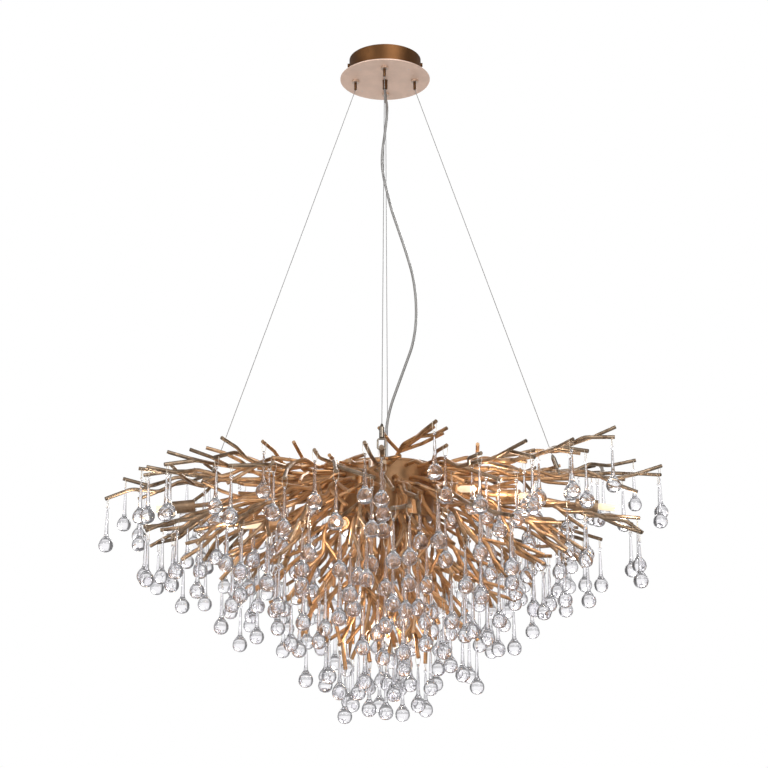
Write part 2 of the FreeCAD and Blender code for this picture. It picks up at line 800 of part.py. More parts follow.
# A twig whose joint with the rod leaves a sliver of a face is left off
def joined(main, twigs):
    body = swept(main, ROD_R, ROD_BEND)
    kept = []
    for twig in twigs:
        whole = body.fuse(swept(twig, TWIG_R, ROD_BEND))
        least = min(face.Area for face in whole.Faces)
        if len(whole.Solids) == 1 and least > SLIVER_AREA:
            body = whole
            kept.append(twig)
    return body, kept


def drilled(body, holes):
    if holes:
        body = body.cut(holes)
    if len(body.Solids) != 1:
        raise ValueError("a branch is not one solid")
    return body.Solids[0]


# Drops and hangers
def drop_shape():
    top = LUG_D / 2
    hole_low = (LUG_HOLE_D - HANGER_WIRE_D) / 2 - EYE_PLAY
    turn = math.radians(FLARE_ANGLE)
    ball = Vector(0, 0, -EYE_TO_BALL)
    rim = ball + Vector(BALL_R * math.sin(turn), 0, BALL_R * math.cos(turn))
    stem_end = Vector(DROP_STEM_END_D / 2, 0, rim.z + FLARE_H)
    stem_top = Vector(DROP_STEM_TOP_D / 2, 0, -top)
    waist_x = stem_end.x + (rim.x - stem_end.x) * FLARE_WAIST_IN
    waist = Vector(waist_x, 0, stem_end.z - FLARE_H * FLARE_WAIST_DOWN)
    bottom = ball - UP * BALL_R
    belly = ball + Vector(BALL_R, 0, 0)
    middle = Vector(0, 0, -top)
    edges = [
        Part.LineSegment(middle, stem_top).toShape(),
        Part.LineSegment(stem_top, stem_end).toShape(),
        Part.Arc(stem_end, waist, rim).toShape(),
        Part.Arc(rim, belly, bottom).toShape(),
        Part.LineSegment(bottom, middle).toShape(),
    ]
    body = Part.Face(Part.Wire(edges)).revolve(ORIGIN, UP, 360)
    centre = Vector(0, 0, -hole_low)
    slab = Part.makeBox(LUG_T, LUG_D, LUG_D, centre - Vector(LUG_T / 2, top, top))
    lug = Part.makeSphere(top, centre).common(slab)
    hole = tube(LUG_HOLE_D / 2, centre - Vector(LUG_D, 0, 0), Vector(1, 0, 0), 2 * LUG_D)
    return body.fuse(lug).removeSplitter().cut(hole)


def hanger_shape(rod_radius):
    wide = Vector(rod_radius + HANGER_WIRE_D / 2 + HANGER_SIDE_GAP, 0, 0)
    narrow = Vector((LUG_T + HANGER_WIRE_D) / 2 + HANGER_SIDE_GAP, 0, 0)
    shoulder = UP * -HANGER_SHOULDER
    low = UP * -HANGER_LENGTH
    points = [wide * -1, wide, wide + shoulder, narrow + low, low - narrow, shoulder - wide]
    return mitred_loop(points, HANGER_WIRE_D / 2)


# A hanger's hole keeps off the places where a twig leaves its rod
def off_forks(place, forks):
    for a, b, radius in forks:
        if place.distanceToLineSegment(a, b).Length < radius + HANGER_HOLE_D / 2 + FORK_GAP:
            return False
    return True


# A hanger is checked exactly against the rods of its own branch
def hanger_fits(place, across, rod_radius, own):
    wide = rod_radius + HANGER_WIRE_D / 2 + HANGER_SIDE_GAP
    narrow = (LUG_T + HANGER_WIRE_D) / 2 + HANGER_SIDE_GAP
    for k in range(HANGER_STEPS + 1):
        depth = HANGER_LENGTH * k / HANGER_STEPS
        inward = max(0.0, (depth - HANGER_SHOULDER) / (HANGER_LENGTH - HANGER_SHOULDER))
        side = wide + (narrow - wide) * inward
        for sign in (-1, 1):
            point = place + across * (sign * side) - UP * depth
            for a, b, radius in own:
                free = point.distanceToLineSegment(a, b).Length
                if free < radius + HANGER_WIRE_D / 2 + HANGER_OWN_GAP:
                    return False
    return True


def drop_spheres(eye, swing=None, angle=0.0):
    down = UP * -1
    if swing is not None:
        down = FreeCAD.Rotation(swing, angle).multVec(down)
    stem = along([eye, eye + down * (EYE_TO_BALL - BALL_R)], LUG_D / 2, DROP_STEP)
    return stem + [(eye + down * EYE_TO_BALL, BALL_R)]


def eye_of(place):
    return place - UP * HANGER_LENGTH


# From the tip inward: near the tip first, then a few places on every second run
def hang_places(points, skipped):
    spans = list(zip(points, points[1:]))
    a, b = spans[-1]
    places = [(0, b - (b - a).normalize() * TIP_HOLE_INSET, b - a)]
    for order, (a, b) in enumerate(reversed(spans[skipped:-1]), start=1):
        if order % PLACE_STEP == 0:
            places += [(order, a + (b - a) * share, b - a) for share in PLACE_SHARES]
    return places


# A hung drop is its order from the tip, its place on the rod, the rod's level
# direction there, the rod's name and the rod's radius
def hang_drops(branches, room):
    under_arm = hang_point(0, -1) - Vector(0, ARM_HOLE_REACH, 0)
    hung = [(0, under_arm, Vector(0, -1, 0), ARM_DROP_NAME, ARM_D / 2)]
    room.add(drop_spheres(eye_of(under_arm)), "drop")
    candidates = []
    for tier, main, twigs, name, body in branches:
        lines = [(main, 3, ROD_R)] + [(twig, 1, TWIG_R) for twig in twigs]
        own = [(a, b, radius) for points, skipped, radius in lines for a, b in zip(points, points[1:])]
        for points, skipped, radius in lines:
            runs = list(zip(points, points[1:]))
            forks = [(a, b, size) for a, b, size in own if (a, b) not in runs]
            for order, place, run in hang_places(points, skipped):
                flat = Vector(run.x, run.y, 0)
                if flat.Length < STEEP_SHARE * run.Length:
                    flat = Vector(place.x, place.y, 0)
                flat.normalize()
                if off_forks(place, forks) and hanger_fits(place, flat.cross(UP), radius, own):
                    candidates.append((order, place, flat, name, radius))
    candidates.sort(key=lambda item: item[0])
    for order, place, flat, name, radius in candidates:
        spheres = drop_spheres(eye_of(place))
        wires = [(place - UP * (HANGER_LENGTH * s), HANGER_ROOM) for s in (0.4, 0.7)]
        if room.clear(spheres, DROP_GAP) and room.clear(wires, HANGER_GAP, name):
            room.add(spheres, "drop")
            hung.append((order, place, flat, name, radius))
    return hung


def can_swing(item, room_without, hung):
    place, across = item[1], item[2].cross(UP)
    near = []
    for other in hung:
        if other is not item and (other[1] - place).Length < 2 * EYE_TO_BALL:
            near += drop_spheres(eye_of(other[1]))
    for angle in (-SWING_LIMIT, -SWING_LIMIT / 2, SWING_LIMIT / 2, SWING_LIMIT):
        spheres = drop_spheres(eye_of(place), across, angle)
        if not room_without.clear(spheres, DROP_GAP):
            return False
        for p, r in near:
            if any((p - q).Length < r + s + DROP_GAP for q, s in spheres):
                return False
    return True


def choose_swinging(hung, room_without):
    chosen = []
    for item in sorted(hung, key=lambda item: -math.hypot(item[1].x, item[1].y / CROWN_FRONT_SHARE)):
        crowded = any((item[1] - other[1]).Length < SWING_SPACING for other in chosen)
        at_tip = item[0] == 0 and item[3] != ARM_DROP_NAME
        if at_tip and not crowded and can_swing(item, room_without, hung):
            chosen.append(item)
        if len(chosen) == SWING_COUNT:
            break
    return chosen


# Fixed pieces that the crown has to keep clear of
def fill_fixed(room):
    for name, x, y in SIDES:
        hang = hang_point(x, y)
        arm_end = hang + Vector(x, y, 0) * ARM_END
        high = hang + pull(x, y) * (CLUTCH_LOW + CLUTCH_H + CLUTCH_TIP_H)
        room.add(along([Vector(x * HUB_R, y * HUB_R, -HANG_DROP), arm_end], ARM_D / 2), "arm")
        room.add(along([hang, high], STIRRUP_WIDTH / 2 + STIRRUP_WIRE_D / 2), "arm")
        room.add(along([high, grip_exit(x, y)], CABLE_D), "cable")
    gland_top = Vector(0, 0, LID_TOP)
    room.add(along([gland_top, gland_top + UP * CORD_ROOM_H], HUB_GLAND_D), "cord")
    foot = Vector(0, 0, STEM_BOTTOM)
    down = UP * -1
    room.add(along([Vector(0, 0, HUB_BOTTOM), foot], STEM_COLLAR_D / 2), "stem")
    add_lamp_room(room, foot, down)
    for leave, azimuth, reach, fall in LAMP_PLACES:
        points = lamp_arm_points(azimuth, azimuth, reach, fall)
        room.add(along(points[1:], LAMP_ARM_D / 2), "lamp")
        add_lamp_room(room, points[-1], lamp_out(points))


def add_lamp_room(room, back, out):
    rim = back + out * HOLDER_H
    room.add(along([back, rim], HOLDER_D / 2), "lamp")
    room.add(along([rim, rim + out * BULB_LENGTH], BULB_D / 2 + LAMP_GAP), "lamp")


# Nodes of the whole chandelier
def canopy_parts():
    return {
        "ceiling_bracket": [make_bracket()],
        "canopy_housing": [make_housing()],
        "canopy_face_plate": [make_face_plate()],
        "face_plate_screws": make_flange_screws(),
        "canopy_side_screws": make_side_screws(),
        "terminal_block": [make_terminal_block()],
        "cord_gland": [make_gland()],
        "hub_cord_gland": [make_hub_gland()],
        "power_cord": [make_cord()],
    }


def suspension_parts(arm_holes):
    parts = {
        "cable_grips": [make_grip(point) for point in grip_points()],
        "grip_lock_nuts": make_lock_nuts(),
        "cable_clutches": [make_clutch(x, y) for name, x, y in SIDES],
        "cable_stirrups": [make_stirrup(x, y) for name, x, y in SIDES],
    }
    for name, x, y in SIDES:
        parts["suspension_cable_" + name] = [make_cable(x, y)]
        parts["support_arm_" + name] = [make_arm(x, y, arm_holes.get("arm_" + name, []))]
    return parts


def hub_parts(branches):
    wall_bores = [(azimuth_of(Vector(x, y, 0)), -HANG_DROP, ARM_D / 2) for name, x, y in SIDES]
    wall_bores += [(leave, row_z(1), LAMP_ARM_D / 2) for leave, azimuth, reach, fall in LAMP_PLACES]
    floor_bores = []
    for tier, main, twigs, name, body in branches:
        if tier < FIRST_FLOOR_TIER:
            wall_bores.append((azimuth_of(main[0]), main[0].z, ROD_R))
        else:
            floor_bores.append(main[0])
    return {
        "hub_drum": [make_hub_drum(wall_bores)],
        "hub_lid": [make_hub_lid()],
        "hub_floor": [make_hub_floor(floor_bores)],
        "hub_tie_screws": make_tie_screws(),
        "centre_stem": [make_stem()],
    }


def lamp_parts():
    holder = holder_shape(LAMP_ARM_D + 2 * BORE_FIT)
    bulb = bulb_shape()
    down = UP * -1
    foot = Vector(0, 0, STEM_BOTTOM)
    arms = []
    holders = [placed(holder_shape(STEM_BORE_D), foot, down)]
    bulbs = [placed(bulb, foot, down)]
    for place in LAMP_PLACES:
        points = lamp_arm_points(*place)
        out = lamp_out(points)
        holders.append(placed(holder, points[-1], out))
        bulbs.append(placed(bulb, points[-1], out))
        points[-1] = points[-1] + out * HOLDER_BACK
        arms.append(swept(points, LAMP_ARM_D / 2, LAMP_ARM_BEND))
    return {"lamp_arms": arms, "lamp_holders": holders, "lamp_bulbs": bulbs}


def across_turn(flat):
    return FreeCAD.Rotation(Vector(1, 0, 0), flat.cross(UP))


def drop_parts(hung, swinging):
    parts = {}
    drop = drop_shape()
    hangers = {radius: hanger_shape(radius) for radius in (ROD_R, TWIG_R, ARM_D / 2)}
    wires = []
    fixed = []
    for item in hung:
        order, place, flat, name, radius = item
        wire = hangers[radius].copy()
        wire.Placement = FreeCAD.Placement(place, across_turn(flat))
        wires.append(wire)
        glass = drop.copy()
        glass.Placement = FreeCAD.Placement(eye_of(place), across_turn(flat))
        if item in swinging:
            number = swinging.index(item) + 1
            eye = eye_of(place)
            axis = flat.cross(UP)
            parts["swing_drop_%02d" % number] = [glass]
            print("hinge swing_drop_%02d %.4f %.4f %.4f %.5f %.5f" % (number, *eye, axis.x, axis.y))
        else:
            fixed.append((place.z, glass))
    half = len(wires) // 2
    parts["drop_hangers_outer"] = wires[:half]
    parts["drop_hangers_inner"] = wires[half:]
    fixed.sort(key=lambda entry: -entry[0])
    for first in range(0, len(fixed), GROUP_SIZE):
        node = "fixed_drops_level_%d" % (1 + first // GROUP_SIZE)
        parts[node] = [glass for height, glass in fixed[first:first + GROUP_SIZE]]
    return parts


def hanger_holes(hung):
    holes = {}
    for order, place, flat, name, radius in hung:
        across = flat.cross(UP)
        start = place - across * ROD_D
        holes.setdefault(name, []).append(tube(HANGER_HOLE_D / 2, start, across, 2 * ROD_D))
    return holes


def build():
    room = Room()
    fill_fixed(room)
    rng = random.Random(GROWTH_SEED)
    branches = grow_branches(grow_rods(room, rng), room, rng)
    room_without = Room()
    room_without.cells = {key: list(value) for key, value in room.cells.items()}
    hung = hang_drops(branches, room)
    swinging = choose_swinging(hung, room_without)
    holes = hanger_holes(hung)
    parts = canopy_parts()
    parts.update(suspension_parts(holes))
    parts.update(hub_parts(branches))
    parts.update(lamp_parts())
    parts.update(drop_parts(hung, swinging))
    for tier, main, twigs, name, body in branches:
        node = "branches_tier_%d" % tier
        parts.setdefault(node, []).append(drilled(body, holes.get(name, [])))
    print("rods", len(branches), "twigs", sum(len(b[2]) for b in branches), "drops", len(hung))
    return parts


def save(parts):
    os.makedirs("parts", exist_ok=True)
    for node, solids in parts.items():
        shape = solids[0] if len(solids) == 1 else Part.makeCompound(solids)
        shape.exportStep("parts/%s.step" % node)
    print("nodes", len(parts))


save(build())
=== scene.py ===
"""Looks of a crystal chandelier: its metal, glass drops, lit lamps, cord and a plain studio."""

import math

import bmesh
import bpy
import numpy as np
from bpy.props import FloatProperty, FloatVectorProperty, PointerProperty
from mathutils import Matrix, Vector


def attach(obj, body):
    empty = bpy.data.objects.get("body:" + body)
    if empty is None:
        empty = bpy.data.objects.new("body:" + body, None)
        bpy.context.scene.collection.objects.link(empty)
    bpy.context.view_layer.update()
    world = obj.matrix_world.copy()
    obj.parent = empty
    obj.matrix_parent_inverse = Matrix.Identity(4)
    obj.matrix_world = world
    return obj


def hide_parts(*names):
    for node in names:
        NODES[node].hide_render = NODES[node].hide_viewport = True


bl_info = {
    "name": "Crystal chandelier",
    "version": (1, 0, 0),
    "blender": (4, 5, 0),
    "location": "View3D > Sidebar > Chandelier",
    "description": "Dresses the chandelier's solids with finishes, glass, lamps, cord and a studio",
    "category": "Object",
}

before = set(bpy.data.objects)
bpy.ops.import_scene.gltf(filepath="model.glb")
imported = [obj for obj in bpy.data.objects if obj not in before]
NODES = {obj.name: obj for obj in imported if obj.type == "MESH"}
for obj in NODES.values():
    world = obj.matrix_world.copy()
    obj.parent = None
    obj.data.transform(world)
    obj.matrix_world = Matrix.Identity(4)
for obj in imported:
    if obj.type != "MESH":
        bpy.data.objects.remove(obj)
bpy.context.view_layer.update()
BODY = "chandelier"
CROWN_HEART = Vector((0, 0, -0.95))
MERGE_DISTANCE = 1e-6

# The cord's route from the canopy's gland to the hub's gland, in metres
CORD_ROUTE = (
    (0, 0, -0.070), (0, 0, -0.086), (0.005, -0.006, -0.114), (0.004, -0.009, -0.145),
    (-0.001, -0.010, -0.186), (-0.006, -0.008, -0.222), (-0.007, -0.005, -0.252),
    (-0.003, -0.003, -0.283), (0.004, -0.004, -0.313), (0.013, -0.007, -0.355),
    (0.025, -0.009, -0.393), (0.042, -0.008, -0.445), (0.058, -0.004, -0.499),
    (0.064, 0.001, -0.535), (0.067, 0.004, -0.573), (0.066, 0.006, -0.616),
    (0.059, 0.007, -0.660), (0.044, 0.007, -0.702), (0.026, 0.005, -0.753),
    (0.012, 0.003, -0.793), (0.004, 0.001, -0.830), (0.001, -0.001, -0.866),
    (0, 0, -0.890), (0, 0, -0.910),
)

# Satin metals: the colour property, roughness, metallic share, depth of the cloudy patches, their
# scale per metre, and the height of the grain in metres
SATIN_METALS = {
    "canopy_bronze": ("canopy_drum", 0.46, 0.85, 0.35, 14.0, 0.0002),
    "zinc_steel": ("steel", 0.38, 0.95, 0.20, 60.0, 0.0002),
    "screw_bronze": ("canopy_drum", 0.40, 0.90, 0.30, 90.0, 0.0001),
    "worn_nickel": ("clutch", 0.30, 0.90, 0.30, 90.0, 0.0001),
    "gland_bronze": ("gland", 0.38, 0.80, 0.30, 90.0, 0.0001),
    "aged_brass": ("hub_gland", 0.34, 0.85, 0.30, 90.0, 0.0001),
    "hanger_wire": ("wire", 0.30, 0.90, 0.20, 120.0, 0.0001),
    "hub_bronze": ("hub", 0.44, 0.80, 0.35, 30.0, 0.0003),
}
PATCH_EDGES = (0.32, 0.68)
GRAIN_FINER = 14

# Heights between which a grip's pale nut gives way to its dark stem, in metres
NUT_FOOT = (-0.0525, -0.0535)

# The crown is oval: distances in its depth count this much more, and the rods turn from the core's
# colour to the outer one between these two distances from the axis, in metres
# The core's warm copper is partly the rods' own colour and partly painted warm light from the lamps
OVAL = (1.0, 1.5, 0.0)
OUTER_FROM_TO = (0.20, 0.50)

# The cord's braid: strands along its length and round it
BRAID = (210.0, 3.0)

# One drop's cage. Each ring of the ball: angle from its lowest point in degrees, and its width as a
# share of the radius. The cage is larger than the ball that the smoothing leaves in it.
DROP_SIDES = 8
BALL_RINGS = ((40, 1.10), (80, 1.11), (120, 1.05))
BALL_TALL = 1.12
BALL_POLE = 1.08
# Shoulder, foot and waist of the stem: half width as a share of the ball's radius or of the foot's
# diameter, and height above the ball's middle in radii
SHOULDER = (0.45, 1.02)
STEM_FOOT = (0.46, 1.26)
STEM_WAIST = (0.39, 1.80)
# Where the stem ends and closes, in eye diameters below the hole
STEM_END = 0.62
STEM_CLOSE = 0.40

# The eye: sides of its ring, and how far the cage of ring and section stands out
EYE_SIDES = 6
RING_FULL = 1.10
SECTION_FULL = 1.15
# The wire in the eye's hole and the play round it, in metres
WIRE = 0.0009
WIRE_PLAY = 0.0001
# Points this close to a drop's top, in eye diameters, show how its flat eye is turned
EYE_ZONE = 0.7

# A lamp's capsule. Foot: share of the radius, and height in metres. Tip: share of the radius, and
# depth under the top in radii.
CAPSULE_SIDES = 16
CAPSULE_FOOT = ((0, 0), (0.8, 0), (0.9, 0.006), (0.62, 0.016), (1.0, 0.021))
CAPSULE_TIP = ((1.0, 1.2), (0.82, 0.55), (0.42, 0.16), (0.12, 0.05), (0, 0))
# The light that a lamp throws starts this far beyond its tip and has this radius, in metres
SPILL_AHEAD = 0.016
SPILL_RADIUS = 0.012

# Dark screens round the chandelier, which only glass and polished metal see: place, direction that
# the screen faces, width and height, and shade against the flag shade
SCREENS = {
    "side_screen_right": ((1.9, 0.4, -1.1), (-1, 0, 0), (3.6, 3.6), 1.0),
    "side_screen_left": ((-1.9, 0.4, -1.1), (1, 0, 0), (3.6, 3.6), 1.5),
    "top_screen": ((0.0, 0.6, 0.9), (0, 0, -1), (3.8, 3.4), 1.5),
    "low_screen": ((0.0, 1.0, -2.3), (0, 0, 1), (3.8, 4.4), 2.5),
}
# A screen fades into white between these depths behind the chandelier's axis, in metres
SCREEN_FADE = (1.4, 2.6)

# Soft lights: place, diameter in metres and power in watts
SOFT_LIGHTS = {
    "key_light": ((1.25, -2.6, 0.6), 2.2, 52.0),
    "fill_light": ((-2.3, -1.7, 0.1), 1.6, 36.0),
    "back_light": ((0.4, 2.3, 0.3), 1.4, 30.0),
}
FLOOR_REACH = 30.0
WHITE = (1, 1, 1, 1)


# Properties
def colour(name, description, value):
    return FloatVectorProperty(
        name=name, description=description, default=value, subtype="COLOR", size=3, min=0, max=1)


def length(name, description, value):
    return FloatProperty(name=name, description=description, default=value, unit="LENGTH", min=0)


def offset(name, description, value):
    return FloatProperty(name=name, description=description, default=value, unit="LENGTH")


def angle(name, description, degrees):
    return FloatProperty(
        name=name, description=description, default=math.radians(degrees), subtype="ANGLE")


def share(name, description, value):
    return FloatProperty(
        name=name, description=description, default=value, subtype="FACTOR", min=0, max=1)


def amount(name, description, value, unit="NONE"):
    return FloatProperty(name=name, description=description, default=value, unit=unit, min=0)


class FittingColours(bpy.types.PropertyGroup):
    """Colours of the metal fittings and of the terminal block"""

    # Partly painted light: this warm copper stands in part for the lamps' warm light on the rods
    # near them
    rod_core: colour("Rods at the hub", "Warm copper gold near the lamps", (0.54, 0.29, 0.128))
    rod_outer: colour("Rods at the tips", "Greyed bronze of the outer rods", (0.215, 0.155, 0.105))
    # Painted highlight: pale peach put in random patches on the rods
    rod_painted_highlight: colour("Rod painted highlight", "Pale peach painted highlight in random patches", (0.62, 0.43, 0.28))
    # Painted shade: dark brown put in random patches on the rods
    rod_painted_shade: colour("Rod shade", "Painted shade, dark brown in random patches", (0.09, 0.045, 0.02))
    hub: colour("Hub", "Darker bronze of drum, lid and floor", (0.33, 0.185, 0.09))
    canopy_drum: colour("Canopy drum", "Brown bronze of the side", (0.185, 0.080, 0.027))
    canopy_plate: colour("Face plate", "Pale rose champagne", (0.70, 0.51, 0.41))
    nut: colour("Grip nut", "Pale polished nut of a cable grip", (0.90, 0.74, 0.62))
    gland: colour("Canopy gland", "Dark bronze, also of the grip stems", (0.15, 0.075, 0.032))
    hub_gland: colour("Hub gland", "Aged brass of the hub's cord gland", (0.434, 0.2728, 0.1364))
    clutch: colour("Clutch", "Greyed nickel of clutches and stirrups", (0.30, 0.25, 0.20))
    steel: colour("Steel", "Grey steel of screws and bracket", (0.56, 0.56, 0.57))
    cable: colour("Cable", "Light grey of the stranded cables", (0.30, 0.29, 0.29))
    wire: colour("Hanger wire", "Fine wire loops that carry the drops", (0.72, 0.62, 0.50))
    terminal: colour("Terminal block", "Cream plastic in the canopy", (0.80, 0.79, 0.74))


class CrystalSizes(bpy.types.PropertyGroup):
    """Sizes of one glass drop and the colour of its glass"""

    ball: length("Ball", "Diameter of the ball", 0.030)
    reach: length("Eye to ball", "From the eye's hole to the middle of the ball", 0.077)
    stem_top: length("Stem top", "Diameter of the stem below the eye", 0.0048)
    stem_foot: length("Stem foot", "Diameter of the stem above the ball", 0.0090)
    eye: length("Eye", "Outside diameter of the eye", 0.0086)
    eye_hole: length("Eye hole", "Diameter of the hole in the eye", 0.0032)
    eye_thickness: length("Eye thickness", "Thickness of the flat eye", 0.0034)
    tint: colour("Glass tint", "Colour that clear glass leaves on light", (0.955, 0.945, 0.97))
    # Painted shade: the grey that the glass turns toward its outline, in place of the dark
    # surroundings that the rim refracts
    edge: colour("Glass edge", "Grey of thick glass near its outline", (0.50, 0.49, 0.515))
    shadow: colour("Glass shadow", "Light that a drop's shadow lets by", (0.93, 0.94, 0.95))


class LampLooks(bpy.types.PropertyGroup):
    """The lit capsule lamps"""

    glass: length("Capsule", "Diameter of a lamp's glass", 0.0138)
    frost: colour("Frost", "The lamp's glass under its glow", (0.42, 0.37, 0.29))
    glow: colour("Glow", "Warm white of the lit lamp", (1.0, 0.82, 0.54))
    thrown: colour("Thrown light", "Colour of the light that a lamp throws", (1.0, 0.85, 0.68))
    strength: amount("Glow strength", "How bright the lamp itself looks", 0.85)
    spill: amount("Spill", "Light that each lamp throws", 0.38, unit="POWER")


class CordLooks(bpy.types.PropertyGroup):
    """The sleeved power cord"""

    radius: length("Cord radius", "Half the sleeve's diameter", 0.003)
    shade: colour("Braid shade", "Dark core between the strands", (0.10, 0.095, 0.09))
    silver: colour("Braid", "Silver strands under the clear sleeve", (0.40, 0.39, 0.38))


class StudioLooks(bpy.types.PropertyGroup):
    """Camera, lights and floor"""

    distance: length("Camera distance", "From the chandelier's axis to the camera", 2.874)
    turn: angle("Camera turn", "How far the camera stands round to the right", 1.2)
    aside: offset("Camera aside", "Sideways step that frames the chandelier", -0.0024)
    height: offset("Camera height", "Height of the camera", -1.46)
    pitch: angle("Camera pitch", "How far the camera looks up", 13.93)
    lens: amount("Lens", "Focal length in millimetres", 65.6)
    floor: offset("Floor height", "Height of the floor under the chandelier", -2.45)
    floor_shade: share("Floor shade", "Grey of the floor", 0.86)
    floor_lift: share("Floor lift", "How far the camera sees the floor as white", 0.75)
    daylight: amount("Room light", "Strength of the even light all round", 0.75)
    flag: share("Flag shade", "Grey of the dark screens that give glass its edges", 0.11)


# Shader building
class Level:
    """A number socket: arithmetic on it adds Math nodes"""

    def __init__(self, finish, socket):
        self.finish = finish
        self.socket = socket

    def __add__(self, other):
        return self.finish.arithmetic("ADD", self, other)

    def __radd__(self, other):
        return self.finish.arithmetic("ADD", other, self)

    def __sub__(self, other):
        return self.finish.arithmetic("SUBTRACT", self, other)

    def __rsub__(self, other):
        return self.finish.arithmetic("SUBTRACT", other, self)

    def __mul__(self, other):
        return self.finish.arithmetic("MULTIPLY", self, other)

    def __rmul__(self, other):
        return self.finish.arithmetic("MULTIPLY", other, self)

    def larger(self, other):
        return self.finish.arithmetic("MAXIMUM", self, other)

    def within(self, low, high):
        """0 at low, 1 at high, smooth between"""
        settings = {"interpolation_type": "SMOOTHSTEP"}
        values = {"Value": self, "From Min": low, "From Max": high}
        ramp = self.finish.node("ShaderNodeMapRange", settings, values)
        return Level(self.finish, ramp.outputs["Result"])

    def swing(self, size):
        """A swing of this size about zero, from a level about one half"""
        return (self - 0.5) * size


class Finish:
    """One material, or the world, and the nodes that make it"""

    def __init__(self, name, tree=None):
        self.material = None
        if tree is None:
            self.material = bpy.data.materials.new(name)
            self.material.use_nodes = True
            tree = self.material.node_tree
        self.tree = tree
        self.tree.nodes.clear()

    def node(self, kind, settings=None, values=None):
        """Adds a node: its settings first, then values or links for its sockets"""
        made = self.tree.nodes.new(kind)
        for key, value in (settings or {}).items():
            setattr(made, key, value)
        for key, value in (values or {}).items():
            socket = made.inputs[key]
            value = value.socket if isinstance(value, Level) else value
            if isinstance(value, bpy.types.NodeSocket):
                self.tree.links.new(value, socket)
            else:
                socket.default_value = value
        return made

    def arithmetic(self, operation, *values):
        made = self.node("ShaderNodeMath", {"operation": operation}, dict(enumerate(values)))
        return Level(self, made.outputs[0])

    def place(self, turn=None):
        """The piece's own coordinates in metres"""
        where = self.node("ShaderNodeTexCoord").outputs["Object"]
        return where if turn is None else self.mapped(where, Rotation=turn)

    def mapped(self, where, **values):
        return self.node("ShaderNodeMapping", {}, {"Vector": where, **values}).outputs[0]

    def part(self, where, axis):
        """One coordinate on its own"""
        apart = self.node("ShaderNodeSeparateXYZ", {}, {0: where})
        return Level(self, apart.outputs[axis])

    def noise(self, where, scale, detail=3.0, roughness=0.55):
        values = {"Vector": where, "Scale": scale, "Detail": detail, "Roughness": roughness}
        return Level(self, self.node("ShaderNodeTexNoise", {}, values).outputs["Fac"])

    def waves(self, where, scale, distortion=0.0, **settings):
        values = {"Vector": where, "Scale": scale, "Distortion": distortion}
        return Level(self, self.node("ShaderNodeTexWave", settings, values).outputs["Fac"])

    def mixed(self, factor, first, second):
        """The first colour at factor 0, the second at 1"""
        # Of the node's sockets for every kind of data, 6, 7 and output 2 are those for colours
        first, second = (
            (*value, 1) if isinstance(value, tuple) else value for value in (first, second))
        values = {0: factor, 6: first, 7: second}
        return self.node("ShaderNodeMix", {"data_type": "RGBA"}, values).outputs[2]

    def bump(self, height, strength, distance, normal=None):
        values = {"Height": height, "Strength": strength, "Distance": distance}
        if normal is not None:
            values["Normal"] = normal
        return self.node("ShaderNodeBump", {}, values).outputs["Normal"]

    def glowing(self, shade):
        """Plain light of one colour, whatever falls on it"""
        return self.node("ShaderNodeEmission", {}, {"Color": shade, "Strength": 1.0})

    def seen_as(self, shader):
        self.node("ShaderNodeOutputMaterial", {}, {"Surface": shader.outputs[0]})

    def surface(self, values):
        self.seen_as(self.node("ShaderNodeBsdfPrincipled", {}, values))


def rgb(value):
    return tuple(value)[:3]


def darker(value, factor):
    return tuple(v * factor for v in rgb(value))


def paint(finish, *starts):
    """Puts a finish on the solids whose names start so, where the solid's shape is right"""
    for start in starts:
        found = [node for name, node in NODES.items() if name.startswith(start)]
        if not found:
            raise RuntimeError("no solid starts with " + start)
        for node in found:
            for slot in node.material_slots:
                slot.material = finish.material


# Finishes
def satin_metal(name, colours):
    """Lacquered or plated metal with soft cloudy variation and a fine grain"""
    colour_name, roughness, metallic, patches, scale, grain = SATIN_METALS[name]
    base = getattr(colours, colour_name)
    finish = Finish(name)
    where = finish.place()
    cloud = finish.noise(where, scale, detail=4.0).within(*PATCH_EDGES)
    fine = finish.noise(where, scale * GRAIN_FINER, detail=2.0)
    finish.surface({
        "Base Color": finish.mixed(cloud, darker(base, 1 - patches), rgb(base)),
        "Metallic": metallic,
        "Roughness": roughness + cloud.swing(0.10) + fine.swing(0.06),
        "Normal": finish.bump(fine, strength=0.25, distance=grain),
    })
    return finish


def grip_metal(nut, stem):
    """Pale polished nut over a dark bronze stem"""
    finish = Finish("grip_bronze")
    where = finish.place()
    low = finish.part(where, "Z").within(*NUT_FOOT)
    smear = finish.noise(where, scale=300.0).within(0.3, 0.7)
    bronze = finish.mixed(smear, darker(stem, 0.7), rgb(stem))
    finish.surface({
        "Base Color": finish.mixed(low, rgb(nut), bronze),
        "Metallic": 0.85,
        "Roughness": 0.22 + low * 0.14 + smear * 0.06,
        "Normal": finish.bump(smear, strength=0.2, distance=0.0001),
    })
    return finish


def brushed_plate(base):
    """Pale satin plate: slight cloudiness and faint rubbing in circles"""
    finish = Finish("champagne_plate")
    where = finish.place()
    cloud = finish.noise(where, scale=26.0, detail=5.0, roughness=0.6).within(0.3, 0.7)
    specks = finish.noise(where, scale=420.0, detail=2.0)
    brushed = finish.waves(where, scale=180.0, distortion=3.0,
                           wave_type="RINGS", rings_direction="Z")
    finish.surface({
        "Base Color": finish.mixed(cloud, darker(base, 0.88), rgb(base)),
        "Metallic": 0.35,
        "Roughness": 0.5 + specks.swing(0.12),
        "Normal": finish.bump(brushed * 0.4 + specks * 0.6, strength=0.2, distance=0.0002),
    })
    return finish


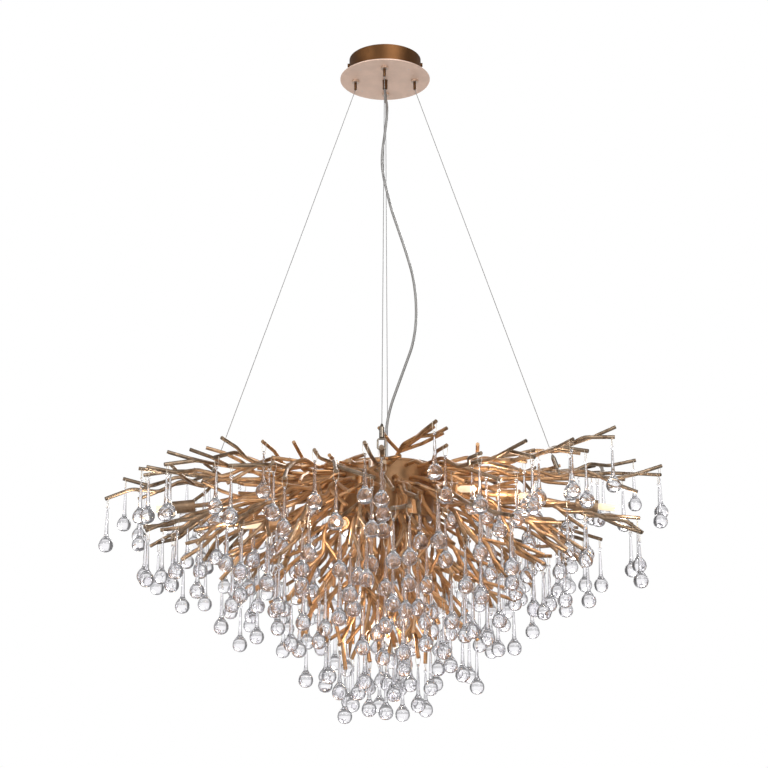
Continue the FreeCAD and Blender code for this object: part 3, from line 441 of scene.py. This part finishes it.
def antique_rods(colours):
    """Lacquered rods: copper gold at the hub, partly painted lamp light, greyer at the tips, with a
    painted highlight in pale patches and painted shade in dark brown patches
    """
    finish = Finish("antique_gold_rods")
    where = finish.place()
    across = finish.node("ShaderNodeVectorMath", {"operation": "MULTIPLY"}, {0: where, 1: OVAL})
    far = finish.node("ShaderNodeVectorMath", {"operation": "LENGTH"}, {0: across.outputs[0]})
    outer = Level(finish, far.outputs["Value"]).within(*OUTER_FROM_TO)
    # This noise places the painted highlights and the painted shade, and varies the roughness
    patina_and_painted_light = finish.noise(where, scale=38.0, detail=5.0, roughness=0.6)
    knobs = finish.noise(where, scale=95.0)
    fine = finish.noise(where, scale=620.0, detail=2.0)
    # Warmer copper toward the axis, near the lamps: partly painted lamp light
    body = finish.mixed(outer, rgb(colours.rod_core), rgb(colours.rod_outer))
    # Painted highlight: pale peach patches over the rods' colour
    painted_highlit = finish.mixed(patina_and_painted_light.within(0.50, 0.74) * 0.75, body, rgb(colours.rod_painted_highlight))
    relief = finish.bump(knobs, strength=0.55, distance=0.0016)
    finish.surface({
        # Painted shade: dark brown patches over the rods' colour
        "Base Color": finish.mixed(patina_and_painted_light.within(0.48, 0.32) * 0.8, painted_highlit, rgb(colours.rod_painted_shade)),
        "Metallic": 0.72,
        "Roughness": 0.36 + patina_and_painted_light.swing(0.2) + fine.swing(0.08),
        "Normal": finish.bump(fine, strength=0.25, distance=0.0003, normal=relief),
    })
    return finish


def stranded_steel(base):
    """Thin twisted steel cable"""
    finish = Finish("stranded_steel")
    where = finish.place(turn=(0.5, 0.4, 0))
    lay = finish.waves(where, scale=260.0, distortion=0.4, bands_direction="Z")
    finish.surface({
        # Painted shade: the grooves of the lay are coloured darker than the strands
        "Base Color": finish.mixed(lay, darker(base, 0.6), rgb(base)),
        "Metallic": 0.5,
        "Roughness": 0.4 + lay * 0.1,
        "Normal": finish.bump(lay, strength=0.5, distance=0.0003),
    })
    return finish


def moulded_plastic(base):
    """Matt plastic of the terminal block, faintly speckled"""
    finish = Finish("terminal_plastic")
    speck = finish.noise(finish.place(), scale=900.0, detail=2.0)
    finish.surface({
        "Base Color": finish.mixed(speck, darker(base, 0.94), rgb(base)),
        "Roughness": 0.48 + speck.swing(0.1),
        "Normal": finish.bump(speck, strength=0.2, distance=0.0001),
    })
    return finish


def sleeved_cord(looks):
    """Clear sleeve over a silver braid with a dark core"""
    finish = Finish("sleeved_cord")
    around = finish.node("ShaderNodeTexCoord").outputs["UV"]
    along, turns = BRAID
    strands = []
    for way in (turns, -turns):
        laid = finish.mapped(around, Scale=(along, way, 1.0))
        strands.append(finish.waves(laid, scale=1.0, bands_direction="DIAGONAL"))
    weave = strands[0] * strands[1]
    finish.surface({
        "Base Color": finish.mixed(weave, rgb(looks.shade), rgb(looks.silver)),
        "Metallic": 0.25 + weave * 0.3,
        "Roughness": 0.45 - weave * 0.15,
        "Coat Weight": 0.9,
        "Coat Roughness": 0.12,
        "Normal": finish.bump(weave, strength=0.3, distance=0.0003),
    })
    return finish


def clear_crystal(sizes):
    """Hand-formed clear glass, faintly wavy, with painted shade greying it toward its outline; its
    shadow is pale
    """
    finish = Finish("clear_crystal")
    drawn = finish.noise(finish.place(), scale=120.0, detail=1.0)
    weight = finish.node("ShaderNodeLayerWeight", {}, {"Blend": 0.5})
    slant = Level(finish, weight.outputs["Facing"])
    glass = finish.node("ShaderNodeBsdfPrincipled", {}, {
        # Painted shade: the glass colour turns grey toward the outline, whichever way it is seen
        "Base Color": finish.mixed(slant.within(0.02, 0.80), rgb(sizes.tint), rgb(sizes.edge)),
        "Roughness": 0.0,
        "IOR": 1.5,
        "Transmission Weight": 1.0,
        "Normal": finish.bump(drawn, strength=0.10, distance=0.002),
    })
    passing = finish.node("ShaderNodeBsdfTransparent", {}, {"Color": (*rgb(sizes.shadow), 1)})
    shadow = finish.node("ShaderNodeLightPath").outputs["Is Shadow Ray"]
    values = {0: shadow, 1: glass.outputs[0], 2: passing.outputs[0]}
    finish.seen_as(finish.node("ShaderNodeMixShader", {}, values))
    return finish


def lit_capsule(looks):
    """Frosted lamp glass that glows warm, faintly cloudy"""
    finish = Finish("lit_capsule")
    cloud = finish.noise(finish.place(), scale=160.0, detail=2.0)
    glow = finish.mixed(cloud.within(0.25, 0.75), darker(looks.glow, 0.8), rgb(looks.glow))
    finish.surface({
        "Base Color": (*rgb(looks.frost), 1),
        "Roughness": 0.25 + cloud * 0.15,
        "Emission Color": glow,
        "Emission Strength": looks.strength,
    })
    return finish


# Meshes
def islands(name):
    """The separate solids of a node, each as an array of its points"""
    copy = bmesh.new()
    copy.from_mesh(NODES[name].data)
    bmesh.ops.remove_doubles(copy, verts=copy.verts, dist=MERGE_DISTANCE)
    copy.verts.ensure_lookup_table()
    seen = set()
    found = []
    for seed in copy.verts:
        if seed.index in seen:
            continue
        seen.add(seed.index)
        queue = [seed]
        points = []
        while queue:
            vert = queue.pop()
            points.append(tuple(vert.co))
            for edge in vert.link_edges:
                other = edge.other_vert(vert)
                if other.index not in seen:
                    seen.add(other.index)
                    queue.append(other)
        found.append(np.array(points))
    copy.free()
    return found


def mesh_from(bm, name):
    mesh = bpy.data.meshes.new(name)
    bm.to_mesh(mesh)
    bm.free()
    return mesh


def closed_mesh(bm, name):
    """A finished turned shape: seams merged, faces outwards and smooth"""
    bmesh.ops.remove_doubles(bm, verts=bm.verts, dist=MERGE_DISTANCE)
    bmesh.ops.recalc_face_normals(bm, faces=bm.faces)
    for face in bm.faces:
        face.smooth = True
    return mesh_from(bm, name)


def spun(bm, profile, steps, axis=(0, 0, 1), centre=(0, 0, 0), closed=False):
    """A profile of points turned once round an axis"""
    verts = [bm.verts.new(point) for point in profile]
    pairs = list(zip(verts, verts[1:]))
    if closed:
        pairs.append((verts[-1], verts[0]))
    edges = [bm.edges.new(pair) for pair in pairs]
    bmesh.ops.spin(bm, geom=verts + edges, cent=centre, axis=axis,
                   angle=2 * math.pi, steps=steps, use_merge=True)


def linked(name, data):
    made = bpy.data.objects.new(name, data)
    bpy.context.scene.collection.objects.link(made)
    return made


def new_piece(name, mesh, finish, body, replaced):
    piece = linked(name, mesh)
    mesh.materials.clear()
    mesh.materials.append(finish.material)
    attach(piece, body)
    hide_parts(replaced)
    return piece


# Glass drops
def drop_cage(sizes):
    """One coarse drop with its eye at the origin, smoothed by a subdivision surface later"""
    bm = bmesh.new()
    # Undoes how far the smoothing pulls a ring of this many sides in
    swell = 6 / (4 + 2 * math.cos(2 * math.pi / DROP_SIDES))
    radius = sizes.ball / 2
    middle = -sizes.reach
    profile = [(0, middle - radius * BALL_POLE)]
    for degrees, fullness in BALL_RINGS:
        turn = math.radians(degrees)
        height = middle - radius * BALL_TALL * math.cos(turn)
        profile.append((radius * fullness * math.sin(turn), height))
    stem = ((radius, SHOULDER), (sizes.stem_foot, STEM_FOOT), (sizes.stem_foot, STEM_WAIST))
    profile += [(width * part, middle + radius * rise) for width, (part, rise) in stem]
    profile.append((sizes.stem_top / 2, -sizes.eye * STEM_END))
    profile.append((0, -sizes.eye * STEM_CLOSE))
    spun(bm, [(r * swell, 0, z) for r, z in profile], DROP_SIDES)

    ring = RING_FULL * (sizes.eye + sizes.eye_hole) / 4
    thick = SECTION_FULL * (sizes.eye - sizes.eye_hole) / 4
    half = SECTION_FULL * sizes.eye_thickness / 2
    sink = (sizes.eye_hole - WIRE) / 2 - WIRE_PLAY
    square = ((-1, -1), (1, -1), (1, 1), (-1, 1))
    section = [(x * half, 0, ring + z * thick - sink) for x, z in square]
    spun(bm, section, EYE_SIDES, axis=(1, 0, 0), centre=(0, 0, -sink), closed=True)
    return closed_mesh(bm, "crystal_drop_cage")


def drop_places(name, sizes):
    """Where each drop of a node hangs: its eye and the direction of its eye's hole"""
    places = []
    for points in islands(name):
        low, high = points[:, 2].min(), points[:, 2].max()
        middle = (points.min(axis=0) + points.max(axis=0)) / 2
        eye_zone = points[points[:, 2] > high - sizes.eye * EYE_ZONE][:, :2]
        spread = np.cov((eye_zone - eye_zone.mean(axis=0)).T)
        thin = np.linalg.eigh(spread)[1][:, 0]
        eye = Vector((middle[0], middle[1], low + sizes.ball / 2 + sizes.reach))
        turn = Matrix.Rotation(math.atan2(thin[1], thin[0]), 4, "Z")
        places.append(Matrix.Translation(eye) @ turn)
    return places


def hang_drops(name, body, cage, sizes, finish):
    bm = bmesh.new()
    for place in drop_places(name, sizes):
        first = len(bm.verts)
        bm.from_mesh(cage)
        bm.verts.ensure_lookup_table()
        bmesh.ops.transform(bm, matrix=place, verts=bm.verts[first:])
    mesh = mesh_from(bm, name + "_glass")
    piece = new_piece(name + "_glass", mesh, finish, body, name)
    smooth = piece.modifiers.new("smooth", "SUBSURF")
    smooth.levels = 1
    smooth.render_levels = 1


# Lamps
def lamp_axes(name):
    """Base middle, direction and length of each lamp"""
    axes = []
    for points in islands(name):
        middle = points.mean(axis=0)
        out = Vector(np.linalg.eigh(np.cov((points - middle).T))[1][:, 2])
        if out.dot(Vector(middle) - CROWN_HEART) < 0:
            out = -out
        along = points @ np.array(out)
        off = points - np.outer(along, np.array(out))
        centre = Vector((off.min(axis=0) + off.max(axis=0)) / 2)
        axes.append((centre + out * along.min(), out, along.max() - along.min()))
    return axes


def capsule(bm, base, out, height, diameter):
    """Pressed foot, straight glass and a small drawn tip"""
    radius = diameter / 2
    first = len(bm.verts)
    profile = [(radius * part, 0, rise) for part, rise in CAPSULE_FOOT]
    profile += [(radius * part, 0, height - radius * drop) for part, drop in CAPSULE_TIP]
    spun(bm, profile, CAPSULE_SIDES)
    bm.verts.ensure_lookup_table()
    place = Matrix.Translation(base) @ out.to_track_quat("Z", "Y").to_matrix().to_4x4()
    bmesh.ops.transform(bm, matrix=place, verts=bm.verts[first:])


# Operators
class CHANDELIER_OT_canopy(bpy.types.Operator):
    """Finishes the canopy and what is inside it"""

    bl_idname = "chandelier.canopy"
    bl_label = "Canopy"

    def execute(self, context):
        colours = context.scene.chandelier_fittings
        paint(satin_metal("canopy_bronze", colours), "canopy_housing")
        paint(brushed_plate(colours.canopy_plate), "canopy_face_plate")
        paint(satin_metal("zinc_steel", colours),
              "ceiling_bracket", "face_plate_screws", "grip_lock_nuts", "hub_tie_screws")
        paint(moulded_plastic(colours.terminal), "terminal_block")
        return {"FINISHED"}


class CHANDELIER_OT_suspension(bpy.types.Operator):
    """Finishes grips, cables, clutches, stirrups, glands and the drops' wire loops"""

    bl_idname = "chandelier.suspension"
    bl_label = "Suspension"

    def execute(self, context):
        colours = context.scene.chandelier_fittings
        paint(grip_metal(colours.nut, colours.gland), "cable_grips")
        paint(satin_metal("screw_bronze", colours), "canopy_side_screws")
        paint(satin_metal("worn_nickel", colours), "cable_clutches", "cable_stirrups")
        paint(satin_metal("gland_bronze", colours), "cord_gland")
        paint(satin_metal("aged_brass", colours), "hub_cord_gland")
        paint(stranded_steel(colours.cable), "suspension_cable")
        paint(satin_metal("hanger_wire", colours), "drop_hangers")
        return {"FINISHED"}


class CHANDELIER_OT_crown(bpy.types.Operator):
    """Finishes the hub, the support arms, the lamp holders and every branch"""

    bl_idname = "chandelier.crown"
    bl_label = "Crown"

    def execute(self, context):
        colours = context.scene.chandelier_fittings
        paint(antique_rods(colours),
              "branches_tier", "support_arm", "lamp_arms", "lamp_holders", "centre_stem")
        paint(satin_metal("hub_bronze", colours), "hub_drum", "hub_lid", "hub_floor")
        return {"FINISHED"}


class CHANDELIER_OT_drops(bpy.types.Operator):
    """Glass drops, smooth and clear, in place of the plain ones"""

    bl_idname = "chandelier.drops"
    bl_label = "Glass drops"

    def execute(self, context):
        sizes = context.scene.chandelier_crystal
        finish = clear_crystal(sizes)
        cage = drop_cage(sizes)
        for name in sorted(NODES):
            if name.startswith("fixed_drops_level"):
                hang_drops(name, BODY, cage, sizes, finish)
            elif name.startswith("swing_drop"):
                hang_drops(name, name + "_body", cage, sizes, finish)
        bpy.data.meshes.remove(cage)
        return {"FINISHED"}


class CHANDELIER_OT_lamps(bpy.types.Operator):
    """Lit capsule lamps and the light that they throw"""

    bl_idname = "chandelier.lamps"
    bl_label = "Lamps"

    def execute(self, context):
        looks = context.scene.chandelier_lamps
        finish = lit_capsule(looks)
        bm = bmesh.new()
        for number, (base, out, height) in enumerate(lamp_axes("lamp_bulbs"), start=1):
            capsule(bm, base, out, height, looks.glass)
            spill = bpy.data.lights.new("lamp_spill_%d" % number, "POINT")
            spill.energy = looks.spill
            spill.color = rgb(looks.thrown)
            spill.shadow_soft_size = SPILL_RADIUS
            linked(spill.name, spill).location = base + out * (height + SPILL_AHEAD)
        mesh = closed_mesh(bm, "lamp_capsules")
        new_piece("lamp_capsules", mesh, finish, BODY, "lamp_bulbs")
        return {"FINISHED"}


class CHANDELIER_OT_cord(bpy.types.Operator):
    """The sleeved power cord in its soft S"""

    bl_idname = "chandelier.cord"
    bl_label = "Power cord"

    def execute(self, context):
        looks = context.scene.chandelier_cord
        curve = bpy.data.curves.new("sleeved_power_cord", "CURVE")
        curve.dimensions = "3D"
        spline = curve.splines.new("NURBS")
        spline.points.add(len(CORD_ROUTE) - 1)
        for point, place in zip(spline.points, CORD_ROUTE):
            point.co = (*place, 1)
        spline.order_u = 3
        spline.use_endpoint_u = True
        spline.resolution_u = 6
        curve.bevel_depth = looks.radius
        curve.bevel_resolution = 4
        curve.use_fill_caps = True
        curve.materials.append(sleeved_cord(looks).material)
        cord = linked("sleeved_power_cord", curve)
        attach(cord, BODY)
        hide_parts("power_cord")
        return {"FINISHED"}


class CHANDELIER_OT_studio(bpy.types.Operator):
    """Camera, pale floor, white surroundings, soft lights and dark screens round the glass"""

    bl_idname = "chandelier.studio"
    bl_label = "Studio"

    def execute(self, context):
        looks = context.scene.chandelier_studio
        context.scene.view_settings.view_transform = "Standard"
        self.camera(context.scene, looks)
        self.floor(looks)
        self.surroundings(context.scene, looks)
        for name, (place, facing, size, shade) in SCREENS.items():
            self.screen(name, place, facing, size, looks.flag * shade)
        for name, (place, size, power) in SOFT_LIGHTS.items():
            self.soft_light(name, place, size, power)
        return {"FINISHED"}

    def camera(self, scene, looks):
        lens = bpy.data.cameras.new("photo_camera")
        lens.lens = looks.lens
        camera = linked("photo_camera", lens)
        stand = Vector((looks.aside, -looks.distance, looks.height))
        camera.location = Matrix.Rotation(looks.turn, 4, "Z") @ stand
        camera.rotation_euler = (math.pi / 2 + looks.pitch, 0, looks.turn)
        scene.camera = camera

    def floor(self, looks):
        bm = bmesh.new()
        bmesh.ops.create_grid(bm, x_segments=1, y_segments=1, size=FLOOR_REACH)
        bmesh.ops.translate(bm, verts=bm.verts, vec=(0, 0, looks.floor))
        mesh = mesh_from(bm, "floor")
        floor = linked("floor", mesh)
        finish = Finish("pale_floor")
        grey = (looks.floor_shade,) * 3
        pale = finish.node("ShaderNodeBsdfDiffuse", {}, {"Color": (*grey, 1)})
        white = finish.glowing(WHITE)
        seen = finish.node("ShaderNodeLightPath").outputs["Is Camera Ray"]
        lift = Level(finish, seen) * looks.floor_lift
        values = {0: lift, 1: pale.outputs[0], 2: white.outputs[0]}
        finish.seen_as(finish.node("ShaderNodeMixShader", {}, values))
        mesh.materials.append(finish.material)

    def surroundings(self, scene, looks):
        """White for the camera, in reflections and through glass, softer as light"""
        world = bpy.data.worlds.new("white_room")
        world.use_nodes = True
        scene.world = world
        room = Finish("white_room", world.node_tree)
        path = room.node("ShaderNodeLightPath").outputs
        seen = Level(room, path["Is Camera Ray"])
        seen = seen.larger(path["Is Glossy Ray"]).larger(path["Is Transmission Ray"])
        strength = looks.daylight + seen * (1 - looks.daylight)
        background = room.node("ShaderNodeBackground", {}, {"Color": WHITE, "Strength": strength})
        room.node("ShaderNodeOutputWorld", {}, {"Surface": background.outputs[0]})

    def screen(self, name, place, facing, size, shade):
        bm = bmesh.new()
        bmesh.ops.create_grid(bm, x_segments=1, y_segments=1, size=0.5)
        turn = Vector(facing).to_track_quat("Z", "Y").to_matrix().to_4x4()
        bmesh.ops.scale(bm, verts=bm.verts, vec=(*size, 1))
        bmesh.ops.transform(bm, matrix=Matrix.Translation(place) @ turn, verts=bm.verts)
        mesh = mesh_from(bm, name)
        screen = linked(name, mesh)
        screen.visible_camera = False
        screen.visible_diffuse = False
        screen.visible_shadow = False
        finish = Finish(name)
        fade = finish.part(finish.place(), "Y").within(*SCREEN_FADE)
        finish.seen_as(finish.glowing(finish.mixed(fade, (shade,) * 3, WHITE[:3])))
        mesh.materials.append(finish.material)

    def soft_light(self, name, place, size, power):
        light = bpy.data.lights.new(name, "AREA")
        light.shape = "DISK"
        light.size = size
        light.energy = power
        lamp = linked(name, light)
        lamp.location = place
        aim = CROWN_HEART - Vector(place)
        lamp.rotation_euler = aim.to_track_quat("-Z", "Y").to_euler()


STEPS = (
    CHANDELIER_OT_canopy,
    CHANDELIER_OT_suspension,
    CHANDELIER_OT_crown,
    CHANDELIER_OT_drops,
    CHANDELIER_OT_lamps,
    CHANDELIER_OT_cord,
    CHANDELIER_OT_studio,
)


class CHANDELIER_PT_panel(bpy.types.Panel):
    """Lists the steps in order"""

    bl_idname = "CHANDELIER_PT_panel"
    bl_label = "Chandelier"
    bl_space_type = "VIEW_3D"
    bl_region_type = "UI"
    bl_category = "Chandelier"

    def draw(self, context):
        for step in STEPS:
            self.layout.operator(step.bl_idname)


GROUPS = {
    "chandelier_fittings": FittingColours,
    "chandelier_crystal": CrystalSizes,
    "chandelier_lamps": LampLooks,
    "chandelier_cord": CordLooks,
    "chandelier_studio": StudioLooks,
}
CLASSES = (*GROUPS.values(), *STEPS, CHANDELIER_PT_panel)


def register():
    for made in CLASSES:
        bpy.utils.register_class(made)
    for name, group in GROUPS.items():
        setattr(bpy.types.Scene, name, PointerProperty(type=group))


def unregister():
    for name in GROUPS:
        delattr(bpy.types.Scene, name)
    for made in reversed(CLASSES):
        bpy.utils.unregister_class(made)


def main():
    register()
    for step in STEPS:
        area, name = step.bl_idname.split(".")
        getattr(getattr(bpy.ops, area), name)()


if __name__ == "__main__":
    main()
